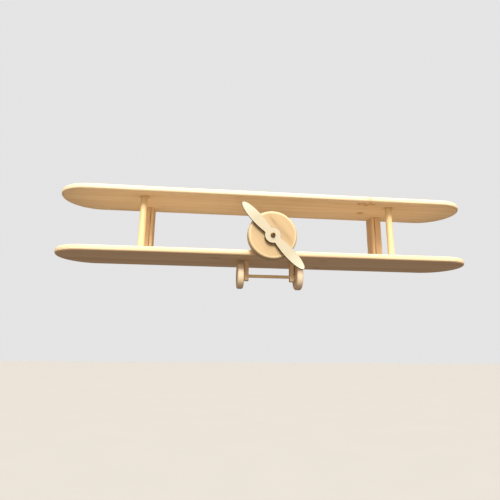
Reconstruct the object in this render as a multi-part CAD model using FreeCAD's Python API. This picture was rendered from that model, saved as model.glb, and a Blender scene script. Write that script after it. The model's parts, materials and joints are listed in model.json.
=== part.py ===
import FreeCAD, Part
import math
import os

# Wall shelf in the shape of a biplane. Two long boards with round ends are the wings and the
# shelves. Dowels at the front and flat blocks at the wall hold them apart, a round cowl with a
# free-spinning propeller is on the lower board's front edge, and a pair of wheels on one axle
# hangs under it.
#
# Frame, in millimetres: +X to the right for someone facing the shelf, +Y into the wall, +Z up.
# The origin is midway between the two keyhole hangers, on the wall's face, at the height of the
# wall screws' centres.

Vector = FreeCAD.Vector
X_AXIS = Vector(1, 0, 0)
Y_AXIS = Vector(0, 1, 0)
Z_AXIS = Vector(0, 0, 1)
SIDES = (("left", -1), ("right", 1))

# ---- driving dimensions -------------------------------------------------------------------
BOARD_LENGTH = 914.4            # 36 in
BOARD_DEPTH = 139.7             # 5 1/2 in
BOARD_THICKNESS = 12.7          # 1/2 in
BOARD_EDGE_RADIUS = 4.76        # 3/16 in round-over on every edge
WING_GAP = 117.9                # clear height between the two boards
HANGER_HEIGHT = 95.0            # wall screws' centres above the lower board's underside

FRONT_STRUT_DIAMETER = 14.288   # 9/16 in dowel
FRONT_STRUT_X = 276.0
FRONT_STRUT_SETBACK = 36.0      # dowel's axis behind the boards' front edges
FRONT_SOCKET_DEPTH = 6.0
SOCKET_CLEARANCE = 0.1          # room for glue round a dowel or a tenon

REAR_STRUT_X = 276.0
REAR_STRUT_WIDTH = 24.0
REAR_STRUT_DEPTH = 35.0
REAR_STRUT_FRONT_RADIUS = 4.0
REAR_STRUT_BACK_RADIUS = 1.5

PIN_DIAMETER = 6.35             # 1/4 in dowel pins in every hidden joint
PIN_IN_BOARD = 8.0
PIN_IN_BLOCK = 12.0
STRUT_PIN_SPACING = 14.0

COWL_DIAMETER = 103.2           # 4 1/16 in
COWL_THICKNESS = 19.05          # 3/4 in
COWL_EDGE_RADIUS = 4.76         # 3/16 in round-over, as on the boards
COWL_X = -2.7                   # the cowl's middle is a little left of the boards' middle
COWL_HEIGHT = 41.4              # above the lower board's underside
BLOCK_SIZE = (44.0, 38.0, 49.0)
BLOCK_EDGE_RADIUS = 2.0
BLOCK_PIN_SPACING = 24.0
COWL_PIN_SPACING = 28.0

PROPELLER_X = -3.6              # its screw is a little left of the cowl's middle and below it
PROPELLER_HEIGHT = 38.4         # above the lower board's underside
PROPELLER_RADIUS = 93.5
PROPELLER_THICKNESS = 4.76      # 3/16 in plywood
PROPELLER_ANGLE = -47.4         # blades' line, from +X, as seen from the front
PROPELLER_HUB_DIAMETER = 33.7
BLADE_ROOT_HALF_WIDTH = 8.2
BLADE_WIDEST_HALF_WIDTH = 11.0
BLADE_WIDEST_AT = 50.0
BLADE_TIP_RADIUS = 4.2
PROPELLER_PLAY = 0.15           # on each face of the propeller, along its axis
PROPELLER_FIT = 0.08            # radial, between the propeller and its screw
SPACER_DIAMETER = 9.5
SPACER_LENGTH = 2.4
SPACER_FIT = 0.05
SCREW_SHANK_DIAMETER = 4.2
SCREW_LENGTH = 40.0
SCREW_HEAD_DIAMETER = 10.0
SCREW_HEAD_HEIGHT = 3.4
SCREW_RECESS_WIDTH = 1.3
SCREW_RECESS_SPAN = 5.0
SCREW_RECESS_DEPTH = 1.8

GEAR_X = 1.4                    # the gear's middle is a little right of the boards' middle
LEG_X = 50.6                    # from the gear's middle to each leg's
LEG_WIDTH = 9.525               # 3/8 by 1/2 in strip
LEG_DEPTH = 12.7
LEG_SETBACK = 61.7              # leg's middle behind the boards' front edges
LEG_LENGTH = 43.9               # below the lower board
LEG_TENON = 6.0
LEG_TIP_RADIUS = 3.0
AXLE_DIAMETER = 7.0
AXLE_DROP = 32.9                # axle's centre below the lower board's underside
AXLE_FIT = 0.08                 # radial, in the legs
AXLE_PROUD = 1.5                # past each wheel's outer face
AXLE_CHAMFER = 0.8
WHEEL_DIAMETER = 57.15          # 2 1/4 in
WHEEL_WIDTH = 14.3              # 9/16 in
WHEEL_EDGE_RADIUS = 4.0
WHEEL_BOSS_DIAMETER = 15.0
WHEEL_INNER_FACE = 57.4         # from the gear's middle to each wheel's inner face
WHEEL_PLAY = 0.5                # between each wheel's boss and the leg

PLATE_SIZE = (14.0, 1.6, 44.0)
PLATE_CENTRE_Z = -4.5
PLATE_CORNER_RADIUS = 2.0
PLATE_CLEARANCE = 0.1
KEYHOLE_SLOT_RADIUS = 2.5
KEYHOLE_ENTRY_RADIUS = 5.0
KEYHOLE_DROP = 9.0              # from the slot's top centre down to the entry hole's centre
POCKET_RADIUS = 5.6
POCKET_DEPTH = 9.0
PLATE_SCREW_SPACING = 35.0
PLATE_SCREW_HEAD_RADIUS = 3.0
PLATE_SCREW_SHANK_RADIUS = 1.5
PLATE_SCREW_LENGTH = 13.0
PLATE_RECESS_WIDTH = 0.8
PLATE_RECESS_SPAN = 3.2
PLATE_RECESS_DEPTH = 0.9

# ---- places worked out from them ----------------------------------------------------------
FRONT_Y = -BOARD_DEPTH
LOWER_BOTTOM = -HANGER_HEIGHT
LOWER_TOP = LOWER_BOTTOM + BOARD_THICKNESS
UPPER_BOTTOM = LOWER_TOP + WING_GAP
FRONT_STRUT_Y = FRONT_Y + FRONT_STRUT_SETBACK
REAR_STRUT_Y = -REAR_STRUT_DEPTH / 2
COWL_Z = LOWER_BOTTOM + COWL_HEIGHT
PROPELLER_Z = LOWER_BOTTOM + PROPELLER_HEIGHT
COWL_FRONT_Y = FRONT_Y - COWL_THICKNESS
SPACER_FRONT_Y = COWL_FRONT_Y - SPACER_LENGTH
PROPELLER_BACK_Y = SPACER_FRONT_Y - PROPELLER_PLAY
PROPELLER_FRONT_Y = PROPELLER_BACK_Y - PROPELLER_THICKNESS
SCREW_HEAD_BACK_Y = PROPELLER_FRONT_Y - PROPELLER_PLAY
LEG_Y = FRONT_Y + LEG_SETBACK
AXLE_Z = LOWER_BOTTOM - AXLE_DROP
WHEEL_OUTER_FACE = WHEEL_INNER_FACE + WHEEL_WIDTH
WHEEL_BOSS_FACE = LEG_X + LEG_WIDTH / 2 + WHEEL_PLAY


# ---- plain shapes -------------------------------------------------------------------------
def box_about(x, y, bottom, size):
    """A box standing on a height, centred on x and y."""
    corner = Vector(x - size[0] / 2, y - size[1] / 2, bottom)
    return Part.makeBox(size[0], size[1], size[2], corner)


def rod(radius, start, end):
    """A round rod between two points."""
    along = end.sub(start)
    return Part.makeCylinder(radius, along.Length, start, along)


def edges_where(shape, test):
    """The edges of a shape whose two ends both pass a test."""
    return [edge for edge in shape.Edges if all(test(vertex.Point) for vertex in edge.Vertexes)]


def parallel_edges(shape, axis):
    """The straight edges of a shape that run along an axis."""
    found = []
    for edge in shape.Edges:
        if len(edge.Vertexes) != 2:
            continue
        run = edge.Vertexes[1].Point.sub(edge.Vertexes[0].Point)
        if abs(abs(run.dot(axis)) - run.Length) < 1e-6:
            found.append(edge)
    return found


def cross_recess(x, z, low_y, high_y, width, span):
    """A cross-shaped driver recess, to cut into a screw head that faces along Y."""
    depth = high_y - low_y
    flat = Part.makeBox(span, depth, width, Vector(x - span / 2, low_y, z - width / 2))
    upright = Part.makeBox(width, depth, span, Vector(x - width / 2, low_y, z - span / 2))
    return flat.fuse(upright)


# ---- joints that several sub-parts share --------------------------------------------------
def strut_pin_places():
    """x and y of each dowel pin between a rear strut and a board."""
    places = []
    for _, side in SIDES:
        for step in (-0.5, 0.5):
            places.append((side * REAR_STRUT_X, REAR_STRUT_Y + step * STRUT_PIN_SPACING))
    return places


def block_pin_places():
    """x and y of each dowel pin between the cowl's block and the lower board."""
    block_y = FRONT_Y + BLOCK_SIZE[1] / 2
    return [(COWL_X + step * BLOCK_PIN_SPACING, block_y) for step in (-0.5, 0.5)]


def cowl_pin_places():
    """x and z of each dowel pin between the cowl and its block."""
    return [(COWL_X + step * COWL_PIN_SPACING, COWL_Z) for step in (-0.5, 0.5)]


def upright_pin(x, y, joint_z, board_is_above):
    """A dowel pin across a level joint: a short stretch in the board, a long one in the block."""
    up = PIN_IN_BOARD if board_is_above else PIN_IN_BLOCK
    down = PIN_IN_BLOCK if board_is_above else PIN_IN_BOARD
    return rod(PIN_DIAMETER / 2, Vector(x, y, joint_z - down), Vector(x, y, joint_z + up))


def strut_pins():
    pins = []
    for x, y in strut_pin_places():
        pins.append(upright_pin(x, y, UPPER_BOTTOM, True))
        pins.append(upright_pin(x, y, LOWER_TOP, False))
    return pins


def block_pins():
    return [upright_pin(x, y, LOWER_TOP, False) for x, y in block_pin_places()]


def cowl_pins():
    pins = []
    for x, z in cowl_pin_places():
        start = Vector(x, FRONT_Y - PIN_IN_BLOCK, z)
        pins.append(rod(PIN_DIAMETER / 2, start, Vector(x, FRONT_Y + PIN_IN_BLOCK, z)))
    return pins


def on_propeller_axis(y):
    return Vector(PROPELLER_X, y, PROPELLER_Z)


def screw_hole():
    """The hole for the propeller's screw, through the cowl and into the block."""
    return rod(SCREW_SHANK_DIAMETER / 2, on_propeller_axis(COWL_FRONT_Y),
               on_propeller_axis(SCREW_HEAD_BACK_Y + SCREW_LENGTH))


# ---- wings --------------------------------------------------------------------------------
def blank_board(bottom):
    """A board with half-round ends and rounded edges."""
    end_radius = BOARD_DEPTH / 2
    straight = BOARD_LENGTH / 2 - end_radius
    back_left = Vector(-straight, 0, bottom)
    back_right = Vector(straight, 0, bottom)
    front_right = Vector(straight, FRONT_Y, bottom)
    front_left = Vector(-straight, FRONT_Y, bottom)
    right_tip = Vector(BOARD_LENGTH / 2, FRONT_Y / 2, bottom)
    left_tip = Vector(-BOARD_LENGTH / 2, FRONT_Y / 2, bottom)
    outline = Part.Wire([
        Part.LineSegment(back_left, back_right).toShape(),
        Part.Arc(back_right, right_tip, front_right).toShape(),
        Part.LineSegment(front_right, front_left).toShape(),
        Part.Arc(front_left, left_tip, back_left).toShape(),
    ])
    board = Part.Face(outline).extrude(Vector(0, 0, BOARD_THICKNESS))
    top = bottom + BOARD_THICKNESS
    rims = edges_where(board, lambda p: abs(p.z - bottom) < 1e-6)
    rims += edges_where(board, lambda p: abs(p.z - top) < 1e-6)
    return board.makeFillet(BOARD_EDGE_RADIUS, rims)


def front_sockets():
    """Blind holes in both boards for the front dowels."""
    radius = FRONT_STRUT_DIAMETER / 2 + SOCKET_CLEARANCE
    sockets = []
    for _, side in SIDES:
        low = Vector(side * FRONT_STRUT_X, FRONT_STRUT_Y, LOWER_TOP - FRONT_SOCKET_DEPTH)
        high = Vector(side * FRONT_STRUT_X, FRONT_STRUT_Y, UPPER_BOTTOM + FRONT_SOCKET_DEPTH)
        sockets.append(rod(radius, low, high))
    return sockets


def upper_wing():
    return blank_board(UPPER_BOTTOM).cut(front_sockets() + strut_pins())


def lower_wing():
    mortises = []
    for _, side in SIDES:
        size = (LEG_WIDTH + 2 * SOCKET_CLEARANCE, LEG_DEPTH + 2 * SOCKET_CLEARANCE, LEG_TENON)
        mortises.append(box_about(GEAR_X + side * LEG_X, LEG_Y, LOWER_BOTTOM, size))
    return blank_board(LOWER_BOTTOM).cut(front_sockets() + strut_pins() + block_pins() + mortises)


# ---- struts -------------------------------------------------------------------------------
def front_strut(side):
    low = Vector(side * FRONT_STRUT_X, FRONT_STRUT_Y, LOWER_TOP - FRONT_SOCKET_DEPTH)
    high = Vector(side * FRONT_STRUT_X, FRONT_STRUT_Y, UPPER_BOTTOM + FRONT_SOCKET_DEPTH)
    return rod(FRONT_STRUT_DIAMETER / 2, low, high)


def rear_strut(side):
    """A block against the wall, with a rebate and a pocket in its back for the hanger."""
    x = side * REAR_STRUT_X
    size = (REAR_STRUT_WIDTH, REAR_STRUT_DEPTH, WING_GAP)
    block = box_about(x, REAR_STRUT_Y, LOWER_TOP, size)
    uprights = parallel_edges(block, Z_AXIS)
    front = [edge for edge in uprights if edge.CenterOfMass.y < REAR_STRUT_Y]
    back = [edge for edge in uprights if edge.CenterOfMass.y > REAR_STRUT_Y]
    block = block.makeFillet(REAR_STRUT_FRONT_RADIUS, front)
    back = [edge for edge in parallel_edges(block, Z_AXIS) if abs(edge.CenterOfMass.y) < 1e-6]
    block = block.makeFillet(REAR_STRUT_BACK_RADIUS, back)
    cuts = [plate_blank(x, PLATE_CLEARANCE), keyhole_pocket(x)]
    cuts += plate_screws_of(x, False)
    return block.cut(cuts + strut_pins())


# ---- hangers ------------------------------------------------------------------------------
def plate_blank(x, clearance):
    """The hanger plate's outline, or the rebate that takes it when it has a clearance."""
    width = PLATE_SIZE[0] + 2 * clearance
    height = PLATE_SIZE[2] + 2 * clearance
    depth = PLATE_SIZE[1] + clearance
    front_y = -PLATE_CLEARANCE - PLATE_SIZE[1]
    corner = Vector(x - width / 2, front_y, PLATE_CENTRE_Z - height / 2)
    blank = Part.makeBox(width, depth, height, corner)
    return blank.makeFillet(PLATE_CORNER_RADIUS, parallel_edges(blank, Y_AXIS))


def keyhole_slot(x, radius, low_y, high_y):
    """A round-ended slot from the entry hole up to the hanging line, cut along Y."""
    low = rod(radius, Vector(x, low_y, -KEYHOLE_DROP), Vector(x, high_y, -KEYHOLE_DROP))
    high = rod(radius, Vector(x, low_y, 0), Vector(x, high_y, 0))
    corner = Vector(x - radius, low_y, -KEYHOLE_DROP)
    return Part.makeBox(2 * radius, high_y - low_y, KEYHOLE_DROP, corner).fuse([low, high])


def keyhole_pocket(x):
    """The room behind the plate where the wall screw's head slides."""
    return keyhole_slot(x, POCKET_RADIUS, -POCKET_DEPTH, 0.0)


def plate_screw(x, z, with_recess):
    """A countersunk wood screw that goes in from the back, along -Y."""
    face_y = -PLATE_CLEARANCE
    head_end_y = face_y - PLATE_SIZE[1]
    tip_y = face_y - PLATE_SCREW_LENGTH
    head = Part.makeCone(PLATE_SCREW_HEAD_RADIUS, PLATE_SCREW_SHANK_RADIUS, PLATE_SIZE[1],
                         Vector(x, face_y, z), Vector(0, -1, 0))
    shank = rod(PLATE_SCREW_SHANK_RADIUS, Vector(x, head_end_y, z),
                Vector(x, tip_y + 2 * PLATE_SCREW_SHANK_RADIUS, z))
    point = Part.makeCone(PLATE_SCREW_SHANK_RADIUS, 0, 2 * PLATE_SCREW_SHANK_RADIUS,
                          Vector(x, tip_y + 2 * PLATE_SCREW_SHANK_RADIUS, z), Vector(0, -1, 0))
    screw = head.fuse([shank, point])
    if not with_recess:
        return screw
    bottom_y = face_y - PLATE_RECESS_DEPTH
    return screw.cut(cross_recess(x, z, bottom_y, face_y, PLATE_RECESS_WIDTH, PLATE_RECESS_SPAN))


def plate_screws_of(x, with_recess):
    heights = [PLATE_CENTRE_Z + step * PLATE_SCREW_SPACING for step in (-0.5, 0.5)]
    return [plate_screw(x, z, with_recess) for z in heights]


def hanger_plate(side):
    x = side * REAR_STRUT_X
    low_y = -PLATE_CLEARANCE - PLATE_SIZE[1]
    entry = rod(KEYHOLE_ENTRY_RADIUS, Vector(x, low_y, -KEYHOLE_DROP), Vector(x, 0, -KEYHOLE_DROP))
    slot = keyhole_slot(x, KEYHOLE_SLOT_RADIUS, low_y, 0.0)
    blank = plate_blank(x, 0.0)
    return blank.cut([entry, slot] + plate_screws_of(x, False))


def hanger_screws():
    screws = []
    for _, side in SIDES:
        screws += plate_screws_of(side * REAR_STRUT_X, True)
    return screws


# ---- cowl and propeller -------------------------------------------------------------------
def engine_cowl():
    """A thick disc with a rounded front edge, against the lower board's front edge."""
    disc = rod(COWL_DIAMETER / 2, Vector(COWL_X, FRONT_Y, COWL_Z), Vector(COWL_X, COWL_FRONT_Y, COWL_Z))
    rim = edges_where(disc, lambda p: abs(p.y - COWL_FRONT_Y) < 1e-6)
    disc = disc.makeFillet(COWL_EDGE_RADIUS, rim)
    return disc.cut([screw_hole()] + cowl_pins())


def cowl_block():
    """The block on the lower board that the cowl is pinned to."""
    block = box_about(COWL_X, FRONT_Y + BLOCK_SIZE[1] / 2, LOWER_TOP, BLOCK_SIZE)
    block = block.makeFillet(BLOCK_EDGE_RADIUS, parallel_edges(block, Z_AXIS))
    return block.cut([screw_hole()] + cowl_pins() + block_pins())


def blade_outline():
    """One blade's face, from the hub's middle out along +X: a curve out and its mirror back."""
    tip_start = PROPELLER_RADIUS - 0.6 * BLADE_TIP_RADIUS
    points = [
        Vector(0, 0, 0.72 * BLADE_ROOT_HALF_WIDTH),
        Vector(PROPELLER_HUB_DIAMETER / 2, 0, BLADE_ROOT_HALF_WIDTH),
        Vector(0.6 * BLADE_WIDEST_AT, 0, 0.9 * BLADE_WIDEST_HALF_WIDTH),
        Vector(BLADE_WIDEST_AT, 0, BLADE_WIDEST_HALF_WIDTH),
        Vector(0.82 * PROPELLER_RADIUS, 0, 0.79 * BLADE_WIDEST_HALF_WIDTH),
        Vector(tip_start, 0, BLADE_TIP_RADIUS),
    ]
    mirrored = [Vector(p.x, 0, -p.z) for p in reversed(points)]
    upper = Part.BSplineCurve()
    upper.interpolate(points)
    lower = Part.BSplineCurve()
    lower.interpolate(mirrored)
    tip = Part.Arc(points[-1], Vector(PROPELLER_RADIUS, 0, 0), mirrored[0])
    root = Part.LineSegment(mirrored[-1], points[0])
    return Part.Face(Part.Wire([c.toShape() for c in (upper, tip, lower, root)]))


def propeller():
    """A flat two-bladed propeller with a round hub, bored to turn on its screw."""
    thickness = Vector(0, -PROPELLER_THICKNESS, 0)
    blade = blade_outline().extrude(thickness)
    opposite = blade.copy()
    opposite.rotate(Vector(0, 0, 0), Y_AXIS, 180)
    hub = rod(PROPELLER_HUB_DIAMETER / 2, Vector(0, 0, 0), thickness)
    bore = rod(SCREW_SHANK_DIAMETER / 2 + PROPELLER_FIT, Vector(0, 0, 0), thickness)
    body = hub.fuse([blade, opposite]).removeSplitter().cut(bore)
    body.rotate(Vector(0, 0, 0), Y_AXIS, -PROPELLER_ANGLE)
    body.translate(on_propeller_axis(PROPELLER_BACK_Y))
    return body


def propeller_spacer():
    """A washer on the screw that holds the propeller off the cowl."""
    start = on_propeller_axis(COWL_FRONT_Y)
    end = on_propeller_axis(SPACER_FRONT_Y)
    bore = rod(SCREW_SHANK_DIAMETER / 2 + SPACER_FIT, start, end)
    return rod(SPACER_DIAMETER / 2, start, end).cut(bore)


def propeller_screw():
    """A pan-head screw: the propeller's axle."""
    face_y = SCREW_HEAD_BACK_Y - SCREW_HEAD_HEIGHT
    head_back = on_propeller_axis(SCREW_HEAD_BACK_Y)
    head = rod(SCREW_HEAD_DIAMETER / 2, head_back, on_propeller_axis(face_y))
    rim = edges_where(head, lambda p: abs(p.y - face_y) < 1e-6)
    head = head.makeFillet(0.6 * SCREW_HEAD_HEIGHT, rim)
    point_length = SCREW_SHANK_DIAMETER
    point_start = on_propeller_axis(SCREW_HEAD_BACK_Y + SCREW_LENGTH - point_length)
    shank = rod(SCREW_SHANK_DIAMETER / 2, head_back, point_start)
    point = Part.makeCone(SCREW_SHANK_DIAMETER / 2, 0, point_length, point_start, Y_AXIS)
    bottom_y = face_y + SCREW_RECESS_DEPTH
    recess = cross_recess(PROPELLER_X, PROPELLER_Z, face_y, bottom_y,
                          SCREW_RECESS_WIDTH, SCREW_RECESS_SPAN)
    return head.fuse([shank, point]).removeSplitter().cut(recess)


# ---- landing gear -------------------------------------------------------------------------
def on_axle(x):
    """A point on the axle's line, at a distance from the gear's middle."""
    return Vector(GEAR_X + x, LEG_Y, AXLE_Z)


def gear_leg(side):
    """A strip let into the lower board's underside, bored for the axle."""
    x = GEAR_X + side * LEG_X
    size = (LEG_WIDTH, LEG_DEPTH, LEG_LENGTH + LEG_TENON)
    bottom = LOWER_BOTTOM - LEG_LENGTH
    leg = box_about(x, LEG_Y, bottom, size)
    tips = [edge for edge in parallel_edges(leg, X_AXIS) if abs(edge.CenterOfMass.z - bottom) < 1e-6]
    leg = leg.makeFillet(LEG_TIP_RADIUS, tips)
    inner = on_axle(side * (LEG_X - LEG_WIDTH / 2))
    outer = on_axle(side * (LEG_X + LEG_WIDTH / 2))
    return leg.cut(rod(AXLE_DIAMETER / 2 + AXLE_FIT, inner, outer))


def wheel_axle():
    half = WHEEL_OUTER_FACE + AXLE_PROUD
    axle = rod(AXLE_DIAMETER / 2, on_axle(-half), on_axle(half))
    rims = edges_where(axle, lambda p: abs(abs(p.x - GEAR_X) - half) < 1e-6)
    rims = [edge for edge in rims if len(edge.Vertexes) == 1]
    return axle.makeChamfer(AXLE_CHAMFER, rims)


def wheel(side):
    """A turned disc with rounded edges and a short boss towards the leg."""
    inner = on_axle(side * WHEEL_INNER_FACE)
    outer = on_axle(side * WHEEL_OUTER_FACE)
    boss_face = on_axle(side * WHEEL_BOSS_FACE)
    disc = rod(WHEEL_DIAMETER / 2, inner, outer)
    rims = [edge for edge in disc.Edges if len(edge.Vertexes) == 1]
    disc = disc.makeFillet(WHEEL_EDGE_RADIUS, rims)
    boss = rod(WHEEL_BOSS_DIAMETER / 2, boss_face, inner)
    bore = rod(AXLE_DIAMETER / 2, boss_face, outer)
    return disc.fuse(boss).removeSplitter().cut(bore)


# ---- write each sub-part ------------------------------------------------------------------
def sub_parts():
    parts = {
        "upper_wing": upper_wing(),
        "lower_wing": lower_wing(),
        "strut_pins": Part.makeCompound(strut_pins()),
        "engine_cowl": engine_cowl(),
        "cowl_block": cowl_block(),
        "cowl_pins": Part.makeCompound(cowl_pins()),
        "block_pins": Part.makeCompound(block_pins()),
        "propeller": propeller(),
        "propeller_spacer": propeller_spacer(),
        "propeller_screw": propeller_screw(),
        "wheel_axle": wheel_axle(),
        "hanger_screws": Part.makeCompound(hanger_screws()),
    }
    for name, side in SIDES:
        parts["front_strut_" + name] = front_strut(side)
        parts["rear_strut_" + name] = rear_strut(side)
        parts["hanger_plate_" + name] = hanger_plate(side)
        parts["gear_leg_" + name] = gear_leg(side)
        parts["wheel_" + name] = wheel(side)
    return parts


os.makedirs("parts", exist_ok=True)
for node, shape in sub_parts().items():
    shape.exportStep("parts/" + node + ".step")
    box = shape.BoundBox
    print(node, "solids", len(shape.Solids), "valid", shape.isValid(),
          "volume", round(shape.Volume, 1), "z", round(box.ZMin, 2), round(box.ZMax, 2))
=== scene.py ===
import json
import math

import bmesh
import bpy
from mathutils import Euler, Matrix, Vector, noise

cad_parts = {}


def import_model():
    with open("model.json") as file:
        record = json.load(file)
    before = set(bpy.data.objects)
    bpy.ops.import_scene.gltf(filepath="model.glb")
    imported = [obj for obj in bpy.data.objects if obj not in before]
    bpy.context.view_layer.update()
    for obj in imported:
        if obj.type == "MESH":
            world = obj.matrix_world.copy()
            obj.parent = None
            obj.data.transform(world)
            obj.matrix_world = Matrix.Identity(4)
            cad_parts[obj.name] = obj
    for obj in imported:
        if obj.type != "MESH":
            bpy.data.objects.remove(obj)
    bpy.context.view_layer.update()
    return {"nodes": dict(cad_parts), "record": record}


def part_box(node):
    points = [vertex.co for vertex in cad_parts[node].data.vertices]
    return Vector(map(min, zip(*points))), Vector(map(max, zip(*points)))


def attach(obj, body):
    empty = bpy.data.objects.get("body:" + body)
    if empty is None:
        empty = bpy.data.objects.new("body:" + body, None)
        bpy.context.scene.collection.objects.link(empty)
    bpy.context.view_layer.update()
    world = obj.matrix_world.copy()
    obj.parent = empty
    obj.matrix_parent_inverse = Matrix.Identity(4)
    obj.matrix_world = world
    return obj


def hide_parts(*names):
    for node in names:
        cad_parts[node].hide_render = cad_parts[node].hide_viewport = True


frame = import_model()

# A wall shelf in the shape of a biplane, in bare wood: two round-ended boards, dowels and blocks
# between them, a round cowl with a propeller, and two wheels on an axle. Metres; +X is to the right
# for someone facing the shelf, +Y is into the wall and +Z is up.

MM = 0.001
X_AXIS = Vector((1, 0, 0))
Y_AXIS = Vector((0, 1, 0))
Z_AXIS = Vector((0, 0, 1))
SIDES = (("left", -1), ("right", 1))


def centre_of(node):
    low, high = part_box(node)
    return (low + high) / 2


# ---- shader nodes ---------------------------------------------------------------------------
class Shader:
    """A material's node tree, built by short calls that return output sockets."""

    def __init__(self, name):
        self.material = bpy.data.materials.new(name)
        self.material.use_nodes = True
        self.tree = self.material.node_tree
        self.bsdf = self.tree.nodes["Principled BSDF"]
        self.place = self.tree.nodes.new("ShaderNodeTexCoord").outputs["Object"]

    def node(self, kind, values=(), **settings):
        made = self.tree.nodes.new(kind)
        for key, value in settings.items():
            setattr(made, key, value)
        for socket, value in values:
            if isinstance(value, bpy.types.NodeSocket):
                self.tree.links.new(value, made.inputs[socket])
            else:
                made.inputs[socket].default_value = value
        return made

    def math(self, operation, a, b=0.0, c=0.0, clamp=False):
        values = ((0, a), (1, b), (2, c))
        return self.node("ShaderNodeMath", values, operation=operation, use_clamp=clamp).outputs[0]

    def vector(self, operation, a, b=(0.0, 0.0, 0.0)):
        made = self.node("ShaderNodeVectorMath", ((0, a), (1, b)), operation=operation)
        return made.outputs["Value" if operation == "LENGTH" else "Vector"]

    def scaled(self, place, scale):
        return self.vector("MULTIPLY", place, scale)

    def noise(self, place, detail=2.0, roughness=0.5):
        """Noise about 0.5, at the scale that the place was given."""
        values = (("Vector", place), ("Scale", 1.0), ("Detail", detail), ("Roughness", roughness))
        return self.node("ShaderNodeTexNoise", values).outputs["Fac"]

    def point_value(self, name):
        """A number that point_field put on each point of the mesh."""
        return self.node("ShaderNodeAttribute", (), attribute_name=name).outputs["Fac"]

    def ramp(self, factor, stops):
        """A grey ramp through (position, value) stops."""
        made = self.node("ShaderNodeValToRGB", ((0, factor),))
        elements = made.color_ramp.elements
        while len(elements) < len(stops):
            elements.new(0.5)
        for element, (position, value) in zip(elements, stops):
            element.position = position
            element.color = (value, value, value, 1)
        return made.outputs["Color"]

    def blend(self, factor, a, b):
        made = self.node("ShaderNodeMix", (), data_type="RGBA")
        for socket, value in (("Factor", factor), ("A", a), ("B", b)):
            target = [s for s in made.inputs if s.name == socket and s.enabled][0]
            if isinstance(value, bpy.types.NodeSocket):
                self.tree.links.new(value, target)
            else:
                target.default_value = value if socket == "Factor" else (*value, 1.0)
        return [s for s in made.outputs if s.enabled][0]

    def bump(self, height, distance, strength=1.0):
        values = (("Height", height), ("Distance", distance), ("Strength", strength))
        self.set("Normal", self.node("ShaderNodeBump", values).outputs["Normal"])

    def set(self, socket, value):
        if isinstance(value, bpy.types.NodeSocket):
            self.tree.links.new(value, self.bsdf.inputs[socket])
        else:
            self.bsdf.inputs[socket].default_value = value


# ---- wood -----------------------------------------------------------------------------------
RING_PROFILE = ((0.0, 0.0), (0.45, 0.10), (0.84, 1.0), (0.93, 0.6), (1.0, 0.0))
ALONG_Z = (0.0, math.radians(90), 0.0)
PITCH_FROM = 0.7


class Knot:
    """A knot, nick, streak, stain or patch of painted shade: where it is, how wide, and how far the grain
    draws it out.

    It runs right through the wood along the axis called through, or with None it stays where it is.
    A darkness below zero makes a pale streak, such as the struts' painted corner highlight.
    """

    def __init__(self, place, radius, stretch=1.6, darkness=0.6, swirl=0.8, through=2):
        self.place = place
        self.size = [radius * stretch, radius, radius]
        if through is not None:
            self.size[through] = math.inf
        self.darkness = darkness
        self.swirl = swirl


class Tree:
    """How a piece was cut: the turn that lays its grain along X, its pith's line, and its rings."""

    def __init__(self, turn=(0.0, 0.0, 0.0), offset=(0.0, 0.0, 0.0), pith=(0.03, -0.12), ring=3.5 * MM,
                 wander=14 * MM):
        self.turn = turn
        self.offset = offset
        self.pith = pith
        self.ring = ring
        self.wander = wander

    def at(self, *place):
        """A place on the piece, as the wood's own coordinates put it."""
        return Euler(self.turn).to_matrix() @ Vector(place) + Vector(self.offset)


def knot_fields(shader, place, knots):
    """How strongly the rings bend round the knots, and how dark the knots make the wood."""
    bend = 0.0
    dark = 0.0
    for knot in knots:
        away = shader.scaled(shader.vector("SUBTRACT", place, knot.place), [1 / s for s in knot.size])
        square = shader.math("POWER", shader.vector("LENGTH", away), 2.0)
        spread = shader.math("POWER", math.e, shader.math("MULTIPLY", square, -0.25))
        core = shader.math("POWER", math.e, shader.math("MULTIPLY", square, -1.2))
        bend = shader.math("MULTIPLY_ADD", spread, knot.swirl, bend)
        dark = shader.math("MULTIPLY_ADD", core, knot.darkness, dark)
    return bend, dark


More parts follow.
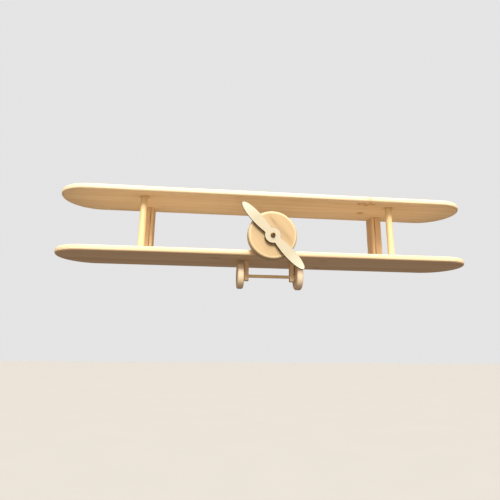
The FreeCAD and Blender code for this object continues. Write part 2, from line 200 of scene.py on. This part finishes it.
def wood(name, pale, deep, tree, rings=0.2, fibres=0.3, streaks=0.45, tones=0.5, base=0.08, knots=(),
         roughness=0.5, rim=None):
    """Solid bare wood: growth rings about a pith, fine fibres along the grain and broad tones.

    Knots and painted shade darker than PITCH_FROM turn towards pitch. A rim is the colour blended in where
    the mesh asks: on the cowl, a painted highlight along its front arris and painted light on its side.
    """
    shader = Shader(name)
    values = (("Vector", shader.place), ("Rotation", tree.turn), ("Location", tree.offset))
    place = shader.node("ShaderNodeMapping", values).outputs["Vector"]
    drift = shader.noise(shader.scaled(place, (1.8, 9.0, 9.0)), 2.0)
    wander = shader.math("MULTIPLY", shader.math("SUBTRACT", drift, 0.5), tree.wander)
    across = shader.vector("SUBTRACT", shader.scaled(place, (0.0, 1.0, 1.0)), (0.0, *tree.pith))
    radius = shader.math("ADD", shader.vector("LENGTH", across), wander)
    bend, dark = knot_fields(shader, place, knots)
    count = shader.math("ADD", shader.math("DIVIDE", radius, tree.ring), bend)
    late = shader.ramp(shader.math("FRACT", count), RING_PROFILE)
    width = shader.noise(shader.scaled(place, (2.0, 30.0, 30.0)), 1.0)
    late = shader.math("MULTIPLY", late, shader.math("MULTIPLY", width, 2.0))
    fibre = shader.noise(shader.scaled(place, (22.0, 1100.0, 1100.0)), 3.0, 0.6)
    streak = shader.noise(shader.scaled(place, (3.5, 130.0, 130.0)), 3.0)
    tone = shader.noise(shader.scaled(place, (2.2, 24.0, 24.0)), 2.0)
    amount = shader.math("MULTIPLY", late, rings)
    for field, weight in ((fibre, fibres), (streak, streaks), (tone, tones)):
        swing = shader.math("SUBTRACT", field, 0.5)
        amount = shader.math("MULTIPLY_ADD", swing, weight, amount)
    amount = shader.math("ADD", amount, base)
    amount = shader.math("ADD", amount, dark, clamp=True)
    colour = shader.blend(amount, pale, deep)
    if knots:
        colour = shader.blend(shader.math("SUBTRACT", dark, PITCH_FROM, clamp=True), colour, PITCH_AND_SHADE)
    # Painted highlight and painted light, where the mesh's point values ask for them.
    if rim:
        colour = shader.blend(shader.point_value("wear_and_painted_light"), colour, rim)
    shader.set("Base Color", colour)
    shader.set("Roughness", shader.math("MULTIPLY_ADD", amount, 0.16, roughness))
    relief = shader.math("MULTIPLY_ADD", late, 0.35, fibre)
    shader.bump(relief, 0.12 * MM, 0.5)
    return shader.material


UPPER_PALE = (0.90, 0.765, 0.56)
LOWER_PALE = (0.83, 0.68, 0.475)
PINE_DEEP = (0.58, 0.39, 0.21)
STRUT_PALE = (0.80, 0.63, 0.42)
STRUT_DEEP = (0.50, 0.30, 0.145)
COWL_PALE = (0.48, 0.355, 0.195)
COWL_DEEP = (0.325, 0.215, 0.108)
# The cowl's paler colour for its painted highlight and painted side light.
COWL_PAINTED_LIGHT = (0.66, 0.56, 0.37)
DOWEL_PALE = (0.82, 0.65, 0.37)
DOWEL_DEEP = (0.64, 0.43, 0.215)
WHEEL_PALE = (0.83, 0.71, 0.54)
WHEEL_DEEP = (0.68, 0.52, 0.34)
BIRCH_PALE = (0.465, 0.435, 0.34)
BIRCH_DEEP = (0.41, 0.345, 0.235)
BIRCH_TIP = (0.60, 0.62, 0.54)
CHAR = (0.030, 0.016, 0.008)
# Pitch in knot cores. The painted shade round the dowels' and blocks' tops darkens to this colour too.
PITCH_AND_SHADE = (0.085, 0.035, 0.012)

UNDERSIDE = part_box("upper_wing")[0].z
# How far in front of a wall block its line of painted shade lies.
SHADE_LINE_AHEAD = 1.5 * MM


def painted_socket_shade(side_name):
    """Painted shade: a dark ring on the upper board's underside, round the top of a dowel."""
    dowel = centre_of("front_strut_" + side_name)
    return Knot((dowel.x, dowel.y, UNDERSIDE), 8.6 * MM, 1.1, 1.4, 0.0, None)


def painted_block_shade(side_name):
    """Painted shade: a dark line on the upper board's underside, just in front of the top of a wall block.
    """
    node = "rear_strut_" + side_name
    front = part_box(node)[0].y
    return Knot((centre_of(node).x, front - SHADE_LINE_AHEAD, UNDERSIDE), 1.9 * MM, 6.0, 1.2, 0.0, None)


# Each knot is place, radius, stretch, darkness, swirl and through.
UPPER_KNOTS_AND_SHADE = (
    Knot((0.2248, -0.0626, 0.0), 6.0 * MM, 1.4, 1.25, 0.9),
    Knot((0.2160, -0.1210, 0.0), 9.0 * MM, 2.6, 0.35, 1.6),
    Knot((0.2000, -0.1230, 0.0), 3.4 * MM, 1.6, 1.00, 0.4),
    Knot((0.2090, -0.1290, 0.0), 3.0 * MM, 1.5, 1.00, 0.4),
    Knot((0.2180, -0.1170, 0.0), 3.4 * MM, 1.5, 0.90, 0.4),
    Knot((0.2230, -0.1310, 0.0), 3.0 * MM, 1.5, 1.10, 0.4),
    Knot((0.2330, -0.1230, 0.0), 3.2 * MM, 1.5, 0.80, 0.4),
    Knot((0.2190, -0.1397, 0.0420), 4.0 * MM, 2.0, 0.55, 0.0, None),
    Knot((0.1650, -0.1180, 0.0), 3.0 * MM, 9.0, 0.30, 0.3),
    # A soft dark smear beside the left dowel's top: partly a stain, partly painted shade.
    Knot((-0.2620, -0.1120, 0.0), 4.0 * MM, 4.5, 0.20, 0.3),
    Knot((0.3210, -0.1397, 0.0448), 1.3 * MM, 1.5, 1.3, 0.0, None),
    # Painted contact shade round the dowels' tops and along the wall blocks' tops.
    *(painted_socket_shade(side_name) for side_name, _ in SIDES),
    *(painted_block_shade(side_name) for side_name, _ in SIDES),
)
LOWER_KNOTS = (
    Knot((-0.1190, -0.1030, 0.0), 4.0 * MM, 3.5, 1.00, 0.5),
    Knot((0.1226, -0.0270, 0.0), 4.0 * MM, 2.5, 1.15, 0.5),
    Knot((0.1165, -0.1075, 0.0), 3.5 * MM, 3.0, 1.00, 0.5),
)
PROPELLER_TILT = math.radians(-47.4)
PROPELLER_HUB = centre_of("propeller") * Vector((1, 0, 1))


def plywood():
    """Pale birch ply, its grain along the blades, with scorched edges and a faint scorched rim."""
    shader = Shader("birch_ply_look")
    values = (("Vector", shader.place), ("Rotation", (0.0, PROPELLER_TILT, 0.0)))
    place = shader.node("ShaderNodeMapping", values).outputs["Vector"]
    fleck = shader.noise(shader.scaled(place, (220.0, 900.0, 900.0)), 2.0)
    flecks = shader.ramp(fleck, ((0.0, 0.0), (0.60, 0.0), (0.72, 1.0), (1.0, 1.0)))
    fibre = shader.noise(shader.scaled(place, (26.0, 700.0, 700.0)), 3.0, 0.6)
    tone = shader.noise(shader.scaled(place, (10.0, 60.0, 60.0)), 2.0)
    amount = shader.math("MULTIPLY_ADD", fibre, 0.5, shader.math("MULTIPLY", tone, 0.45))
    amount = shader.math("SUBTRACT", amount, 0.32)
    amount = shader.math("MULTIPLY_ADD", flecks, 0.22, amount, clamp=True)
    out = shader.vector("SUBTRACT", shader.scaled(shader.place, (1.0, 0.0, 1.0)), PROPELLER_HUB)
    reach = shader.math("MULTIPLY", shader.vector("LENGTH", out), 10.0)
    towards_tip = shader.ramp(reach, ((0.0, 0.0), (0.5, 0.0), (0.9, 1.0), (1.0, 1.0)))
    pale = shader.blend(towards_tip, BIRCH_PALE, BIRCH_TIP)
    face = shader.blend(amount, pale, BIRCH_DEEP)
    patchy = shader.noise(shader.scaled(place, (300.0, 300.0, 300.0)), 2.0)
    uneven = shader.math("MULTIPLY_ADD", patchy, 0.8, 0.6)
    burnt = shader.math("MULTIPLY", shader.point_value("scorch"), uneven, clamp=True)
    shader.set("Base Color", shader.blend(burnt, face, CHAR))
    shader.set("Roughness", shader.math("MULTIPLY_ADD", burnt, 0.25, 0.5))
    shader.bump(fibre, 0.08 * MM, 0.4)
    return shader.material


def metal(name, colour, worn_colour, roughness, grit):
    """Plated or bronzed steel, a little mottled, rubbed bright in places, with painted shade in its recess.
    """
    shader = Shader(name)
    mottle = shader.noise(shader.scaled(shader.place, (grit, grit, grit)), 3.0, 0.6)
    rub_and_painted_highlight = shader.ramp(mottle, ((0.0, 0.0), (0.45, 0.0), (0.75, 1.0), (1.0, 1.0)))
    # Painted shade: near-black and not metallic where the mesh marks the recess.
    painted_recess_shade = shader.point_value("painted_recess_shade")
    clean = shader.blend(rub_and_painted_highlight, colour, worn_colour)
    shader.set("Base Color", shader.blend(painted_recess_shade, clean, (0.006, 0.004, 0.003)))
    shader.set("Metallic", shader.math("SUBTRACT", 1.0, painted_recess_shade))
    shader.set("Roughness", shader.math("MULTIPLY_ADD", mottle, 0.25, roughness))
    shader.bump(mottle, 0.03 * MM, 0.3)
    return shader.material


def make_materials():
    flat_sawn = Tree(pith=(-0.085, -0.020), ring=5.0 * MM)
    lower_cut = Tree(pith=(-0.050, -0.160), ring=5.5 * MM)
    cowl_cut = Tree(turn=(0.0, math.radians(-52), 0.0), offset=(0.0, 0.12, 0.03), pith=(0.0, -0.02),
                    ring=9.0 * MM, wander=20 * MM)
    cowl_streaks = (
        Knot(cowl_cut.at(0.0150, 0.0, -0.0440), 6.0 * MM, 7.0, 0.55, 0.2, 1),
        Knot(cowl_cut.at(-0.0030, 0.0, -0.0230), 3.0 * MM, 5.0, 0.50, 0.0, 1),
        Knot(cowl_cut.at(0.0280, 0.0, -0.0560), 2.2 * MM, 7.0, 0.35, 0.0, 1),
    )
    strut_cut = Tree(turn=ALONG_Z, offset=(0.0, 0.05, 0.2))
    dark_grain = [Knot(strut_cut.at(x, 0.0, z), 1.15 * MM, 24.0, 1.5, 0.0, 1)
                  for x, z in ((-0.2712, -0.055), (-0.2704, 0.010), (0.2708, -0.055), (0.2716, 0.010))]
    # Painted highlight: a pale streak down each wall block's inner front corner.
    painted_corner_highlight = [Knot(strut_cut.at(x, 0.0, -0.023), 2.2 * MM, 40.0, -0.35, 0.0, 1)
                  for x in (-0.2672, 0.2672)]
    return {
        "upper_wing": wood("upper_pine_look", UPPER_PALE, PINE_DEEP, flat_sawn, rings=0.22, streaks=0.6,
                           tones=0.7, knots=UPPER_KNOTS_AND_SHADE),
        "lower_wing": wood("lower_pine_look", LOWER_PALE, PINE_DEEP, lower_cut, rings=0.3, streaks=0.8,
                           tones=0.9, knots=LOWER_KNOTS),
        "pine_board": wood("pine_board_look", UPPER_PALE, PINE_DEEP, flat_sawn),
        "dowel": wood("dowel_look", DOWEL_PALE, DOWEL_DEEP, Tree(ALONG_Z, (0.0, 0.02, 0.1)), rings=0.1),
        "strut_wood": wood("strut_wood_look", STRUT_PALE, STRUT_DEEP, strut_cut,
                           knots=dark_grain + painted_corner_highlight),
        "cowl_wood": wood("cowl_wood_look", COWL_PALE, COWL_DEEP, cowl_cut, rings=0.10, fibres=0.22,
                          streaks=0.35, tones=0.4, knots=cowl_streaks, rim=COWL_PAINTED_LIGHT),
        "birch_ply": plywood(),
        "strip_wood": wood("strip_wood_look", STRUT_PALE, STRUT_DEEP, Tree(ALONG_Z, (0.0, 0.3, 0.1))),
        "wheel_wood": wood("wheel_wood_look", WHEEL_PALE, WHEEL_DEEP, Tree(offset=(0.0, 0.1, 0.3))),
        "dark_screw": metal("dark_screw_look", (0.085, 0.052, 0.022), (0.26, 0.17, 0.08),
                            roughness=0.32, grit=900.0),
        "hanger_steel": metal("hanger_steel_look", (0.55, 0.55, 0.53), (0.75, 0.74, 0.70),
                              roughness=0.28, grit=600.0),
    }


LOOKS = make_materials()


# ---- mesh helpers ---------------------------------------------------------------------------
CREASE = 35.0


def mesh_object(name, points, faces, material, crease=CREASE):
    """A smooth-shaded object from points and faces, creased where faces meet at a sharp angle."""
    mesh = bpy.data.meshes.new(name)
    mesh.from_pydata([tuple(p) for p in points], [], faces)
    made = bmesh.new()
    made.from_mesh(mesh)
    bmesh.ops.recalc_face_normals(made, faces=made.faces)
    made.to_mesh(mesh)
    made.free()
    mesh.shade_smooth()
    mesh.set_sharp_from_angle(angle=math.radians(crease))
    mesh.materials.append(material)
    piece = bpy.data.objects.new(name, mesh)
    bpy.context.scene.collection.objects.link(piece)
    return piece


def point_field(piece, name, values):
    """A number on each point of a mesh, for its material to read."""
    field = piece.data.attributes.new(name, "FLOAT", "POINT")
    field.data.foreach_set("value", values)


def stands_for(piece, node, body):
    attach(piece, body)
    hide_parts(node)


def ring_faces(rows, count, joined):
    """Quads between rings of points. Joined rings close on themselves; others get a cap each end."""
    faces = []
    for row in range(rows if joined else rows - 1):
        low = row * count
        high = (row + 1) % rows * count
        for i in range(count):
            j = (i + 1) % count
            faces.append((low + i, low + j, high + j, high + i))
    if not joined:
        faces.append(tuple(reversed(range(count))))
        faces.append(tuple((rows - 1) * count + i for i in range(count)))
    return faces


def quarter_round(radius, steps=7):
    """(inset, drop) offsets from a square corner, from the face round to the side."""
    turns = [math.pi / 2 * i / steps for i in range(steps + 1)]
    return [(radius * (1 - math.sin(t)), radius * (1 - math.cos(t))) for t in turns]


def lathe(name, profile, start, along, material, bored=False, steps=96):
    """A turned piece: (radius, distance along the axis) points spun round an axis."""
    side = along.orthogonal().normalized()
    other = along.cross(side).normalized()
    points = []
    for radius, distance in profile:
        for i in range(steps):
            turn = math.tau * i / steps
            out = side * math.cos(turn) + other * math.sin(turn)
            points.append(start + along * distance + out * radius)
    return mesh_object(name, points, ring_faces(len(profile), steps, bored), material)


# ---- boards ---------------------------------------------------------------------------------
END_STEPS = 40
SIDE_STEPS = 72
BOARD_ROUND = 4.76 * MM
HAND_SANDING = 0.16 * MM


def board_outline(half_length, half_depth, inset):
    """A stadium's points, inset from the full outline."""
    radius = half_depth - inset
    straight = half_length - half_depth
    ring = []
    for sign in (1, -1):
        for i in range(SIDE_STEPS):
            ring.append(Vector((sign * straight * (2 * i / SIDE_STEPS - 1), -sign * radius, 0)))
        for i in range(END_STEPS):
            turn = math.pi * i / END_STEPS - math.pi / 2
            x = sign * (straight + radius * math.cos(turn))
            ring.append(Vector((x, sign * radius * math.sin(turn), 0)))
    return ring


def board(node):
    """A board with half-round ends and rounded edges, a little uneven from hand sanding."""
    low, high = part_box(node)
    centre = centre_of(node)
    half_length, half_depth, half_thick = (high - low) / 2
    straight = half_length - half_depth
    flat = [(half_depth * part, half_thick) for part in (0.97, 0.8, 0.6, 0.4, 0.2)]
    upper = flat + [(inset, half_thick - drop) for inset, drop in quarter_round(BOARD_ROUND)]
    profile = upper + [(inset, -z) for inset, z in reversed(upper)]
    points = []
    for inset, z in profile:
        for p in board_outline(half_length, half_depth, inset):
            outward = (p - X_AXIS * max(-straight, min(straight, p.x))).normalized()
            unevenness = noise.noise(Vector((p.x * 9, p.y * 9, z * 60 + centre.z * 40)))
            points.append(centre + p + outward * HAND_SANDING * (unevenness - 1) / 2 + Z_AXIS * z)
    faces = ring_faces(len(profile), 2 * (SIDE_STEPS + END_STEPS), False)
    piece = mesh_object(node + "_board", points, faces, LOOKS[node], 40.0)
    stands_for(piece, node, "shelf")


# ---- dowels and legs ------------------------------------------------------------------------
def front_strut(node):
    """A dowel, sanded by hand, so that its radius wanders a little along its length."""
    low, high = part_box(node)
    centre = centre_of(node)
    radius = (high.x - low.x) / 2
    length = high.z - low.z
    rows = 32
    profile = []
    for i in range(rows + 1):
        wear_and_painted_light = 0.06 * MM * (1 + noise.noise(Vector((centre.x * 50, 0, i * 0.37)))) / 2
        profile.append((radius - wear_and_painted_light, length * i / rows))
    start = Vector((centre.x, centre.y, low.z))
    piece = lathe(node + "_dowel", profile, start, Z_AXIS, LOOKS["dowel"])
    stands_for(piece, node, "shelf")


AXLE_RADIUS = 7.0 * MM / 2
AXLE_FIT = 0.08 * MM


def bore(piece, start, along, length, radius):
    """Cut a round hole through a piece."""
    drill = lathe("drill", [(radius, 0.0), (radius, length)], start, along, piece.active_material, steps=48)
    cut = piece.modifiers.new("bore", "BOOLEAN")
    cut.operation = "DIFFERENCE"
    cut.solver = "EXACT"
    cut.object = drill
    bored = bpy.data.meshes.new_from_object(piece.evaluated_get(bpy.context.evaluated_depsgraph_get()))
    bored.set_sharp_from_angle(angle=math.radians(CREASE))
    piece.modifiers.clear()
    piece.data = bored
    bpy.data.objects.remove(drill)


def gear_leg(node):
    """A strip bored for the axle, with its tip rounded front and back, and every sharp edge eased."""
    low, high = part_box(node)
    made = bmesh.new()
    bmesh.ops.create_cube(made, size=1.0)
    bmesh.ops.scale(made, vec=high - low, verts=made.verts)
    bmesh.ops.translate(made, vec=centre_of(node), verts=made.verts)
    tips = [e for e in made.edges if all(v.co.z < low.z + MM for v in e.verts)]
    tips = [e for e in tips if abs(e.verts[0].co.x - e.verts[1].co.x) > MM]
    bmesh.ops.bevel(made, geom=tips, offset=3 * MM, segments=6, profile=0.5, affect="EDGES")
    sharp = [e for e in made.edges if e.calc_face_angle(0) > math.radians(60)]
    bmesh.ops.bevel(made, geom=sharp, offset=0.6 * MM, segments=3, profile=0.5, affect="EDGES")
    points = [v.co.copy() for v in made.verts]
    faces = [tuple(v.index for v in f.verts) for f in made.faces]
    made.free()
    piece = mesh_object(node + "_strip", points, faces, LOOKS["strip_wood"])
    start = Vector((low.x - MM, *centre_of("wheel_axle").yz))
    bore(piece, start, X_AXIS, high.x - low.x + 2 * MM, AXLE_RADIUS + AXLE_FIT)
    stands_for(piece, node, "shelf")


# ---- cowl and propeller ---------------------------------------------------------------------
COWL_ROUND = 4.76 * MM
SCREW_SHANK = 4.2 * MM / 2


def engine_cowl(node):
    """A thick disc, its front edge well rounded, its back edge just eased. A pale band along the front
    arris is a painted highlight, and the paler side is painted light.
    """
    low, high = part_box(node)
    centre = centre_of(node)
    radius = (high.x - low.x) / 2
    thick = high.y - low.y
    front = [(radius - inset, drop) for inset, drop in quarter_round(COWL_ROUND, 12)]
    back = [(radius - inset, thick - drop) for inset, drop in reversed(quarter_round(0.6 * MM, 3))]
    flat = [(radius * part, 0.0) for part in (0.02, 0.3, 0.6, 0.8, 0.86, 0.885)]
    start = Vector((centre.x, low.y, centre.z))
    profile = flat + front + back
    piece = lathe(node + "_disc", profile, start, Y_AXIS, LOOKS["cowl_wood"], steps=160)
    # Painted highlight: a pale band round the front arris. Painted light: the whole side paler than the
    # face.
    arris = radius - 0.8 * COWL_ROUND
    painted_side_light = 0.5
    wear_and_painted_light = []
    for vertex in piece.data.vertices:
        reach = math.hypot(vertex.co.x - centre.x, vertex.co.z - centre.z)
        rub_and_painted_highlight = 0.8 * math.exp(-((reach - arris) / (1.5 * MM)) ** 2)
        wear_and_painted_light.append(rub_and_painted_highlight if reach < arris else max(rub_and_painted_highlight, painted_side_light))
    point_field(piece, "wear_and_painted_light", wear_and_painted_light)
    stands_for(piece, node, "shelf")


HUB_RADIUS = 33.7 * MM / 2
BLADE_LENGTH = 93.5 * MM
BLADE_WIDEST_AT = 50.0 * MM
BLADE_WIDEST = 11.0 * MM
BLADE_ROOT = 8.2 * MM


def blade_half_width(along):
    """A parabola from the hub out to the widest place, then half of an ellipse to the tip."""
    if along < BLADE_WIDEST_AT:
        part = (BLADE_WIDEST_AT - along) / (BLADE_WIDEST_AT - HUB_RADIUS)
        return BLADE_WIDEST - (BLADE_WIDEST - BLADE_ROOT) * part ** 2
    part = (along - BLADE_WIDEST_AT) / (BLADE_LENGTH - BLADE_WIDEST_AT)
    return BLADE_WIDEST * math.sqrt(max(0.0, 1 - part ** 2))


def propeller_outline():
    """The whole propeller's outline about its hub, its blades along X, as one ring of points."""
    root_turn = math.asin(BLADE_ROOT / HUB_RADIUS)
    root_at = HUB_RADIUS * math.cos(root_turn)
    inner = [root_at + (BLADE_WIDEST_AT - root_at) * i / 16 for i in range(1, 17)]
    turns = [math.pi / 2 * i / 20 for i in range(1, 21)]
    outer = [BLADE_WIDEST_AT + (BLADE_LENGTH - BLADE_WIDEST_AT) * math.sin(t) for t in turns]
    rising = [(along, blade_half_width(along)) for along in inner + outer]
    hub = [root_turn + (math.pi - 2 * root_turn) * i / 20 for i in range(21)]
    half = [Vector((x, 0, -z)) for x, z in rising[:-1]] + [Vector((x, 0, z)) for x, z in reversed(rising)]
    half += [Vector((HUB_RADIUS * math.cos(t), 0, HUB_RADIUS * math.sin(t))) for t in hub]
    return half + [-p for p in half]


def propeller(node):
    """Laser-cut ply: a flat face, a scorched rim a hair wide, and burnt edges."""
    low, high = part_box(node)
    middle = centre_of(node)
    rim = propeller_outline()
    turn = Matrix.Rotation(-PROPELLER_TILT, 3, "Y")
    eased = 0.25 * MM
    rows = []
    for y, side in ((low.y, 1), (high.y, -1)):
        flats = [(y, "part", 0.0), (y, "part", 0.35), (y, "part", 0.7)]
        flats += [(y, "rim", 1.0 * MM), (y, "rim", eased)]
        face = flats + [(y + side * eased, "rim", 0.0)]
        rows += face if side == 1 else face[::-1]
    points = []
    scorch = []
    for y, kind, value in rows:
        for p in rim:
            hole = p.normalized() * SCREW_SHANK * 1.04
            if kind == "rim":
                place = p - p.normalized() * value
            else:
                place = hole.lerp(p, value)
            points.append(Vector((middle.x, y, middle.z)) + turn @ place)
            scorch.append({0.0: 1.0, eased: 0.75}.get(value, 0.0) if kind == "rim" else 0.0)
    faces = ring_faces(len(rows), len(rim), True)
    piece = mesh_object(node + "_ply", points, faces, LOOKS["birch_ply"], 30.0)
    point_field(piece, "scorch", scorch)
    stands_for(piece, node, "propeller")


RECESS_SPAN = 5.4 * MM
RECESS_ARM = 1.9 * MM
RECESS_DEPTH = 2.0 * MM


def recess_depth(u, v):
    """A cross recess: two tapered arms and a wider well where they meet."""
    def arm(p, q):
        length = (RECESS_SPAN / 2 - abs(p)) / (0.9 * MM)
        width = (RECESS_ARM / 2 - abs(q)) / (0.3 * MM) + 0.5
        return min(1.0, max(0.0, length)) * min(1.0, max(0.0, width))
    well = min(1.0, max(0.0, (1.7 * MM - math.hypot(u, v)) / (0.5 * MM)))
    return max(arm(u, v), arm(v, u), well)


def propeller_screw(node):
    """A pan-head screw with a cross recess, a plain shank and a point."""
    low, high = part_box(node)
    middle = centre_of(node)
    radius = (high.x - low.x) / 2
    head = 3.4 * MM
    dome = 2.0 * MM
    crown = 0.3 * MM
    face = [radius * i / 30 for i in range(1, 25)]
    rounded = [math.pi / 2 * i / 8 for i in range(9)]
    edge = [(radius * (0.82 + 0.18 * math.sin(t)), dome * (1 - math.cos(t)) * 0.85 + crown)
            for t in rounded]
    profile = [(r, crown * (r / radius / 0.8) ** 2) for r in face] + edge
    under = [(radius, head), (SCREW_SHANK, head), (SCREW_SHANK, high.y - low.y - 2 * SCREW_SHANK)]
    profile += under + [(0.05 * MM, high.y - low.y)]
    start = Vector((middle.x, low.y, middle.z))
    piece = lathe(node + "_pan_head", profile, start, Y_AXIS, LOOKS["dark_screw"])
    # Painted shade in the cross recess, wherever the recess is cut.
    painted_recess_shade = []
    for vertex in piece.data.vertices:
        away = vertex.co - start
        depth = recess_depth(away.x, away.z) if away.y < 0.5 * MM else 0.0
        vertex.co.y += RECESS_DEPTH * depth
        painted_recess_shade.append(depth)
    point_field(piece, "painted_recess_shade", painted_recess_shade)
    stands_for(piece, node, "shelf")


# ---- wheels ---------------------------------------------------------------------------------
WHEEL_ROUND = 4.0 * MM
WHEEL_WIDTH = 14.3 * MM
BOSS_RADIUS = 15.0 * MM / 2


def wheel_axle(node):
    """A round rod with chamfered ends."""
    low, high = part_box(node)
    length = high.x - low.x
    chamfer = 0.8 * MM
    start = Vector((low.x, *centre_of(node).yz))
    ends = [(AXLE_RADIUS - chamfer, 0.0), (AXLE_RADIUS, chamfer)]
    profile = ends + [(radius, length - distance) for radius, distance in reversed(ends)]
    piece = lathe(node + "_rod", profile, start, X_AXIS, LOOKS["dowel"], steps=48)
    stands_for(piece, node, "wheelset")


def wheel(node, side):
    """A turned disc with rounded edges, bored for the axle, with a boss towards the leg."""
    low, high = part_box(node)
    radius = (high.z - low.z) / 2
    length = high.x - low.x
    boss = length - WHEEL_WIDTH
    corner = quarter_round(WHEEL_ROUND, 9)
    inner = [(radius - inset, boss + drop) for inset, drop in corner]
    outer = [(radius - inset, length - drop) for inset, drop in reversed(corner)]
    eye = [(AXLE_RADIUS + 0.3 * MM, length), (AXLE_RADIUS, length - 0.3 * MM)]
    profile = [(AXLE_RADIUS, 0.0), (BOSS_RADIUS, 0.0), (BOSS_RADIUS, boss)] + inner + outer + eye
    start = Vector((low.x if side > 0 else high.x, *centre_of(node).yz))
    piece = lathe(node + "_turned", profile, start, X_AXIS * side, LOOKS["wheel_wood"], True)
    stands_for(piece, node, "wheelset")


# ---- put it together ------------------------------------------------------------------------
for entry in frame["record"]["subparts"]:
    for material_slot in frame["nodes"][entry["node"]].material_slots:
        material_slot.material = LOOKS[entry["material_slot"]]

board("upper_wing")
board("lower_wing")
engine_cowl("engine_cowl")
propeller("propeller")
propeller_screw("propeller_screw")
wheel_axle("wheel_axle")
for side_name, side in SIDES:
    front_strut("front_strut_" + side_name)
    gear_leg("gear_leg_" + side_name)
    wheel("wheel_" + side_name, side)


# ---- stage ----------------------------------------------------------------------------------
def floor():
    """A plain pale floor, well below the shelf. It takes no part in the light on the shelf."""
    shader = Shader("floor_look")
    cloud = shader.noise(shader.scaled(shader.place, (1.5, 1.5, 1.5)), 2.0)
    shader.set("Base Color", shader.blend(cloud, (0.40, 0.415, 0.44), (0.42, 0.435, 0.46)))
    shader.set("Roughness", 0.9)
    size = 30.0
    height = -1.4
    corners = [(-size, -size, height), (size, -size, height), (size, size, height), (-size, size, height)]
    piece = mesh_object("floor", corners, [(0, 1, 2, 3)], shader.material)
    piece.visible_diffuse = False
    piece.visible_glossy = False


def sun(name, azimuth, elevation, strength, angle, colour):
    """Light from far away, from an azimuth to the viewer's right and an elevation."""
    data = bpy.data.lights.new(name, "SUN")
    data.energy = strength
    data.angle = math.radians(angle)
    data.color = colour
    lamp = bpy.data.objects.new(name, data)
    turn, rise = math.radians(azimuth), math.radians(elevation)
    source = Vector((math.sin(turn) * math.cos(rise), -math.cos(turn) * math.cos(rise), math.sin(rise)))
    lamp.rotation_mode = "QUATERNION"
    lamp.rotation_quaternion = source.to_track_quat("Z", "Y")
    bpy.context.scene.collection.objects.link(lamp)


LIGHT_BELOW = 0.25
LIGHT_ABOVE = 0.50


def world():
    """Pale all round for the camera. As light it is dimmer, warmer, and brighter from above."""
    made = bpy.data.worlds.new("studio")
    bpy.context.scene.world = made
    made.use_nodes = True
    tree = made.node_tree
    tree.nodes.clear()
    seen = tree.nodes.new("ShaderNodeBackground")
    seen.inputs["Color"].default_value = (0.78, 0.78, 0.78, 1)
    lit = tree.nodes.new("ShaderNodeBackground")
    lit.inputs["Color"].default_value = (1.0, 0.75, 0.56, 1)
    towards = tree.nodes.new("ShaderNodeTexCoord")
    split = tree.nodes.new("ShaderNodeSeparateXYZ")
    rise = tree.nodes.new("ShaderNodeMapRange")
    rise.inputs["From Min"].default_value = -1.0
    rise.inputs["From Max"].default_value = 1.0
    rise.inputs["To Min"].default_value = LIGHT_BELOW
    rise.inputs["To Max"].default_value = LIGHT_ABOVE
    tree.links.new(towards.outputs["Generated"], split.inputs[0])
    tree.links.new(split.outputs["Z"], rise.inputs["Value"])
    tree.links.new(rise.outputs["Result"], lit.inputs["Strength"])
    pick = tree.nodes.new("ShaderNodeMixShader")
    rays = tree.nodes.new("ShaderNodeLightPath")
    out = tree.nodes.new("ShaderNodeOutputWorld")
    tree.links.new(rays.outputs["Is Camera Ray"], pick.inputs[0])
    tree.links.new(lit.outputs[0], pick.inputs[1])
    tree.links.new(seen.outputs[0], pick.inputs[2])
    tree.links.new(pick.outputs[0], out.inputs["Surface"])


CAMERA_PLACE = (-0.13314, -0.95191, -0.27966)
CAMERA_YAW = math.radians(-5.99)
CAMERA_PITCH = math.radians(13.50)
CAMERA_ROLL = math.radians(0.57)


def camera():
    """Below the shelf and left of its middle, looking up at it and a little to the right."""
    data = bpy.data.cameras.new("camera")
    data.sensor_width = 36.0
    data.lens = 29.09
    made = bpy.data.objects.new("camera", data)
    made.location = CAMERA_PLACE
    look = Matrix.Rotation(CAMERA_YAW, 3, "Z") @ Matrix.Rotation(math.radians(90) + CAMERA_PITCH, 3, "X")
    made.rotation_euler = (look @ Matrix.Rotation(CAMERA_ROLL, 3, "Z")).to_euler()
    bpy.context.scene.collection.objects.link(made)
    bpy.context.scene.camera = made


floor()
world()
sun("key", azimuth=1.0, elevation=40.5, strength=3.3, angle=20.0, colour=(1.0, 0.95, 0.84))
sun("overhead", azimuth=0.0, elevation=60.0, strength=2.9, angle=40.0, colour=(1.0, 0.94, 0.82))
sun("fill", azimuth=-4.0, elevation=14.0, strength=0.9, angle=80.0, colour=(1.0, 0.86, 0.70))
camera()
bpy.context.scene.view_settings.view_transform = "Standard"
